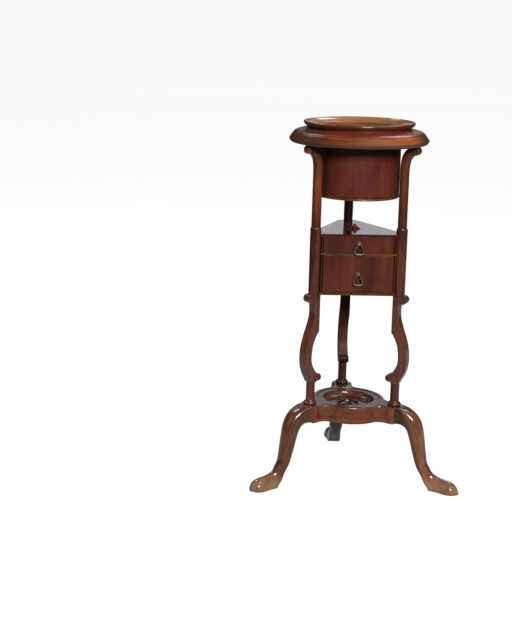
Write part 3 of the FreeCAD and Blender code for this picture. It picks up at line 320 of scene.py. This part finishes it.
SIDES = (("front_left", 210.0), ("front_right", 330.0), ("rear", 90.0))
ORANGE = dict(dark=(0.052, 0.0115, 0.0050), mid=(0.170, 0.042, 0.0105), light=(0.29, 0.090, 0.020))
RED = dict(dark=(0.020, 0.0048, 0.0040), mid=(0.078, 0.0150, 0.0092), light=(0.140, 0.032, 0.014))
STILE = dict(dark=(0.018, 0.0055, 0.0052), mid=(0.068, 0.0185, 0.0140), light=(0.135, 0.037, 0.020), coat=0.14, coat_rough=0.3,
             figure=1.3, stripe=1.5, cloud=0.5)
# Post wood brightness by side: the front-left post is painted lighter and the front-right darker, painted light and
# shade.
POST_PAINTED_LIGHT = {"front_left": 1.26, "front_right": 0.80, "rear": 1.0}

for i, (side, ang) in enumerate(SIDES):
    wear("leg_" + side, mahogany("leg_wood_" + side, turn=-ang, tilt=22.0, seed=1.0 + i, wear=0.4,
                                 dark=(0.044, 0.0145, 0.0090), mid=(0.146, 0.049, 0.0225), light=(0.30, 0.118, 0.044),
                                 figure=1.35, stripe=1.3, coat=0.75, coat_rough=0.08, rough=0.30, grime_and_shade=0.3,
                                 side_shade=(0.010, 0.022, 0.30), wear_col=(0.36, 0.19, 0.095),
                                 zones=(("z", 0.034, 0.010, (0.37, 0.22, 0.125), 0.75),)))
    # The rear spindle is painted darker than the front ones: painted shade.
    shade_tone = 0.42 if side == "rear" else 1.05
    wear("spindle_" + side, mahogany("spindle_wood_" + side, seed=4.0 + i, coat=0.15 if side == "rear" else 0.4,
                                     dark=tuple(x * shade_tone for x in (0.022, 0.0066, 0.0050)),
                                     mid=tuple(x * shade_tone for x in (0.080, 0.0215, 0.0125)),
                                     light=tuple(x * shade_tone for x in (0.150, 0.047, 0.022))))
    # The rear scroll is painted darker than the front ones: painted shade.
    shade_tone = 0.5 if side == "rear" else 1.12
    wear("lower_scroll_" + side, mahogany("scroll_wood_" + side, turn=-ang, seed=7.0 + i, coat=0.0 if side == "rear" else 0.6,
                                          spec=0.08 if side == "rear" else 0.25, rough=0.44 if side == "rear" else 0.34,
                                          dark=tuple(x * shade_tone for x in (0.038, 0.0110, 0.0080)),
                                          mid=tuple(x * shade_tone for x in (0.140, 0.0400, 0.0225)),
                                          light=tuple(x * shade_tone for x in (0.260, 0.086, 0.038)),
                                          side_shade=(0.006, 0.011, 0.30),
                                          # The inner volutes and the tops of the scrolls under the case are painted
                                          # darker: painted shade.
                                          zones=(("r", 0.1010, 0.0970, (0.026, 0.0105, 0.0090), 0.8),
                                                 ("z", 0.412, 0.424, (0.060, 0.0180, 0.0125), 0.6))))
    wear("stile_" + side, mahogany("stile_wood_" + side, seed=10.0 + i, **STILE))
    wear("upper_post_" + side, mahogany("post_wood_" + side, seed=13.0 + i, coat_rough=0.2,
                                       zones=(("z", 0.690, 0.600, (0.068, 0.0140, 0.0086), 0.9),),
                                       **{k: tuple(x * POST_PAINTED_LIGHT[side] for x in v) for k, v in ORANGE.items()}))
wear("platform", mahogany("platform_wood", "X", seed=20.0, dark=(0.048, 0.0125, 0.0058),
                          mid=(0.190, 0.0520, 0.0165), light=(0.30, 0.100, 0.0300), coat=0.6, coat_rough=0.08, grime_and_shade=0.10, figure=0.7, cloud=0.15,
                          zones=(("z", 0.1795, 0.1812, (0.036, 0.0125, 0.0075), 0.9),
                                 ("r", 0.0745, 0.0728, (0.034, 0.0122, 0.0078), 0.92),
                                 ("r", 0.0588, 0.0580, (0.088, 0.0270, 0.0140), 0.9),
                                 ("r", 0.0520, 0.0480, (0.026, 0.0092, 0.0060), 0.9))))
wear("top_ring", mahogany("ring_wood", ring=True, seed=21.0, dark=(0.040, 0.0090, 0.0045),
                          mid=(0.295, 0.086, 0.0120), light=(0.40, 0.140, 0.022), coat=0.32, coat_rough=0.25, spec=0.15, wave=0.5, grime_and_shade=0.25,
                          stripe=1.2, cloud=0.45,
                          zones=(("r", 0.1478, 0.1462, (0.200, 0.0330, 0.0145), 0.95),
                                 # The underside roll is painted greyish: painted reflection of the pale floor.
                                 ("z", 0.7875, 0.7850, (0.086, 0.036, 0.0280), 0.92),
                                 # Both ends of the ring, left and right across the front, are painted darker: painted
                                 # shade.
                                 ("x", -0.062, -0.118, (0.070, 0.0200, 0.0130), 0.85),
                                 ("x", 0.100, 0.132, (0.072, 0.0200, 0.0125), 0.88))))
# The rim's inside is painted golden and lighter than its outside: painted light.
wear("rim", mahogany("rim_wood", ring=True, seed=22.0, dark=(0.062, 0.0135, 0.0055),
                     mid=(0.165, 0.042, 0.0135), light=(0.30, 0.098, 0.028), coat=0.8, coat_rough=0.11, grime_and_shade=0.35,
                     stripe=1.5, cloud=0.5,
                     zones=(("r", 0.1215, 0.1190, (0.295, 0.119, 0.036), 1.0),)))
wear("collar", mahogany("collar_wood", ring=True, seed=23.0, coat=0.3, coat_rough=0.15,
                        zones=(("r", 0.1000, 0.0960, (0.16, 0.055, 0.016), 1.0),), dark=(0.036, 0.0062, 0.0036),
                        mid=(0.195, 0.0310, 0.0135), light=(0.270, 0.056, 0.021)))
drum = dict(dark=(0.034, 0.0068, 0.0050), mid=(0.086, 0.0165, 0.0100), light=(0.145, 0.033, 0.0155))
# The drum's inside wall is painted golden and lighter than its outside: painted light.
wear("drum_wall", mahogany("drum_wood", seed=44.5, figure=0.7, stripe=0.55, cloud=0.3, coat=0.25,
                           zones=(("r", 0.0925, 0.0905, (0.34, 0.135, 0.038), 1.0),), **drum))
wear("drum_bottom", mahogany("drum_bottom_wood", seed=24.0, figure=0.85, coat=0.4, **drum))
wear("drum_base_bead", mahogany("drum_bead_wood", ring=True, seed=25.0, coat_rough=0.25, **ORANGE))
wear("case_top", mahogany("case_top_wood", "X", seed=26.0, coat=1.0, coat_rough=0.05, rough=0.22, wave=0.15, pores=0.3, **RED))
wear("case_bottom", mahogany("case_bottom_wood", "X", seed=27.0, **RED))
wear("drawer_divider", mahogany("divider_wood", "X", seed=28.0, dark=(0.05, 0.016, 0.007), mid=(0.160, 0.058, 0.022),
                                light=(0.25, 0.100, 0.038), coat=0.06, coat_rough=0.3, spec=0.1))
wear("case_side_left", mahogany("case_side_wood_l", seed=29.0, **RED))
wear("case_side_right", mahogany("case_side_wood_r", seed=30.0, **RED))
for i, n in enumerate(("lower_left", "lower_right", "upper_left", "upper_right")):
    wear("front_bead_" + n, mahogany("bead_wood_" + n, seed=31.0 + i, dark=(0.018, 0.0050, 0.0040),
                                     mid=(0.052, 0.0140, 0.0085), light=(0.095, 0.030, 0.014), coat=0.2, wear_col=(0.14, 0.055, 0.025)))
wear("top_boss", mahogany("boss_wood", seed=35.0, **RED))
# The left part of the upper drawer front is painted darker: painted shade.
wear("upper_drawer_front", mahogany("upper_front_wood", "Z", seed=37.3, coat=0.3, coat_rough=0.26, spec=0.14, wear=0.1, wave=0.5, figure=1.0, stripe=0.5, cloud=0.5, mid=(0.066, 0.0122, 0.0066), light=(0.120, 0.028, 0.0105),
                                    zones=(("x", 0.015, -0.060, (0.046, 0.0090, 0.0068), 0.6),), pull_shadow=(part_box("upper_pull_drop")[0][2] + 0.0085, 0.0095, 0.5)))
wear("lower_drawer_front", mahogany("lower_front_wood", "Z", seed=39.2, coat=0.36, coat_rough=0.26, spec=0.14, wear=0.1, wave=0.5, figure=1.1, stripe=0.5, cloud=0.5, mid=(0.078, 0.0155, 0.0074), light=(0.140, 0.034, 0.0115),
                                    pull_shadow=(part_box("lower_pull_drop")[0][2] + 0.0085, 0.0095, 0.5)))
for i, w in enumerate(("upper", "lower")):
    wear(w + "_drawer_side_left", lining_wood(w + "_side_l", "Y", 2.0 + i))
    wear(w + "_drawer_side_right", lining_wood(w + "_side_r", "Y", 4.0 + i))
    wear(w + "_drawer_back", lining_wood(w + "_back", "X", 6.0 + i))
    wear(w + "_drawer_bottom", lining_wood(w + "_bottom", "X", 8.0 + i))
    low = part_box(w + "_pull_drop")[0][2]
    metal = old_brass(w + "_brass", low + 0.004, low + 0.012, 1.0 + i)
    for p in ("plate", "eye_bolt", "nut", "drop"):
        wear("%s_pull_%s" % (w, p), metal)

# ------------------------------------------------------------------ floor and light
# The floor and the far wall are pale for the eye only; what the polish mirrors
# is the white card behind, the softboxes and the dim studio.
bpy.ops.mesh.primitive_plane_add(size=60.0, location=(0, 0, 0))
floor = bpy.context.object
floor.name = "floor"
t = Tree("floor_paper")
n1 = t.noise(t.coords(), 3.0, 3.0, 0.5)
fcol = t.ramp(n1, [(0.3, (0.150, 0.150, 0.152)), (0.7, (0.162, 0.162, 0.162))])
floor.data.materials.append(t.finish(Base_Color=fcol, Roughness=0.9, Specular_IOR_Level=0.0, Emission_Color=(1, 1, 1, 1),
                                     Emission_Strength=0.94))
floor.visible_diffuse = False
floor.visible_glossy = False

bpy.ops.mesh.primitive_cylinder_add(vertices=96, radius=26.0, depth=16.0, end_fill_type="NOTHING", location=(0, 0, 7.9))
wall = bpy.context.object
wall.name = "far_wall"
t = Tree("wall_paper")
n1 = t.noise(t.coords(), 2.0, 3.0, 0.5)
wcol = t.ramp(n1, [(0.3, (0.985, 0.985, 0.985)), (0.7, (1.0, 1.0, 1.0))])
wall.data.materials.append(t.finish(Base_Color=(0.02, 0.02, 0.02, 1), Roughness=0.9, Specular_IOR_Level=0.0,
                                    Emission_Color=wcol, Emission_Strength=0.95))
wall.visible_diffuse = False
wall.visible_glossy = False
wall.visible_shadow = False

bpy.ops.mesh.primitive_plane_add(size=1.0, location=(2.0, 11.0, 3.55), rotation=(math.radians(90), 0, 0))
drop = bpy.context.object
drop.name = "white_card"
drop.scale = (3.8, 2.9, 1.0)
drop.visible_camera = False
t = Tree("card_paper")
n1 = t.noise(t.coords(), 2.0, 3.0, 0.5)
bcol = t.ramp(n1, [(0.3, (0.95, 0.95, 1.0)), (0.7, (0.97, 0.97, 1.0))])
drop.data.materials.append(t.finish(Base_Color=(0.02, 0.02, 0.02, 1), Roughness=0.9, Specular_IOR_Level=0.0,
                                    Emission_Color=bcol, Emission_Strength=0.67))

bpy.ops.mesh.primitive_plane_add(size=1.0, location=(0.0, -0.55, -0.002))
sheet = bpy.context.object
sheet.name = "white_sheet"
sheet.scale = (3.4, 3.5, 1.0)
t = Tree("sheet_paper")
n1 = t.noise(t.coords(), 2.0, 3.0, 0.5)
scol = t.ramp(n1, [(0.3, (0.97, 0.97, 1.0)), (0.7, (1.0, 1.0, 1.0))])
sheet.data.materials.append(t.finish(Base_Color=(0.02, 0.02, 0.02, 1), Roughness=0.9, Specular_IOR_Level=0.0,
                                     Emission_Color=scol, Emission_Strength=0.42))
sheet.visible_camera = False
sheet.visible_diffuse = False

world = bpy.data.worlds.new("studio")
scene.world = world
world.use_nodes = True
wt = world.node_tree
wt.nodes.clear()
tc = wt.nodes.new("ShaderNodeTexCoord")
sx = wt.nodes.new("ShaderNodeSeparateXYZ")
wt.links.new(tc.outputs["Generated"], sx.inputs[0])
wr = wt.nodes.new("ShaderNodeValToRGB")
el = wr.color_ramp.elements
el.new(0.5)
el.new(0.5)
for e, (pos, v) in zip(el, ((0.0, 0.22), (0.36, 0.11), (0.45, 0.02), (1.0, 0.09))):
    e.position = pos
    e.color = (v, v, v, 1.0)
mr = wt.nodes.new("ShaderNodeMapRange")
mr.inputs["From Min"].default_value = -1.0
mr.inputs["From Max"].default_value = 1.0
wt.links.new(sx.outputs["Z"], mr.inputs["Value"])
wt.links.new(mr.outputs["Result"], wr.inputs["Fac"])
bg = wt.nodes.new("ShaderNodeBackground")
wt.links.new(wr.outputs["Color"], bg.inputs["Color"])
bg.inputs["Strength"].default_value = 1.0
wo = wt.nodes.new("ShaderNodeOutputWorld")
wt.links.new(bg.outputs[0], wo.inputs["Surface"])


def softbox(name, at, aim, wide, high, power, colour=(1, 1, 1)):
    d = bpy.data.lights.new(name, "AREA")
    d.shape = "RECTANGLE"
    d.size, d.size_y = wide, high
    d.energy = power
    d.color = colour
    o = bpy.data.objects.new(name, d)
    scene.collection.objects.link(o)
    o.location = at
    o.rotation_mode = "QUATERNION"
    o.rotation_quaternion = (Vector(aim) - Vector(at)).to_track_quat("-Z", "Y")


softbox("front_box", (0.55, -3.3, 2.25), (0, 0, 0.5), 1.2, 0.9, 172.0, (1.0, 0.985, 0.96))
softbox("high_box", (0.75, -1.25, 2.9), (0.0, 0.0, 0.7), 2.2, 1.2, 15.0, (1.0, 0.99, 0.98))
softbox("left_box", (-2.7, -1.1, 1.7), (0, 0, 0.5), 0.8, 1.4, 4.0, (1.0, 0.985, 0.97))
softbox("rear_left_box", (-1.6, 2.1, 3.4), (0, 0, 0.45), 1.2, 1.0, 34.0, (1.0, 0.99, 0.98))
softbox("rear_right_box", (1.6, 2.1, 3.4), (0, 0, 0.45), 1.2, 1.0, 34.0, (1.0, 0.99, 0.98))
softbox("right_box", (2.5, -1.3, 1.7), (0, 0, 0.4), 0.7, 1.4, 2.0, (1.0, 0.99, 0.98))
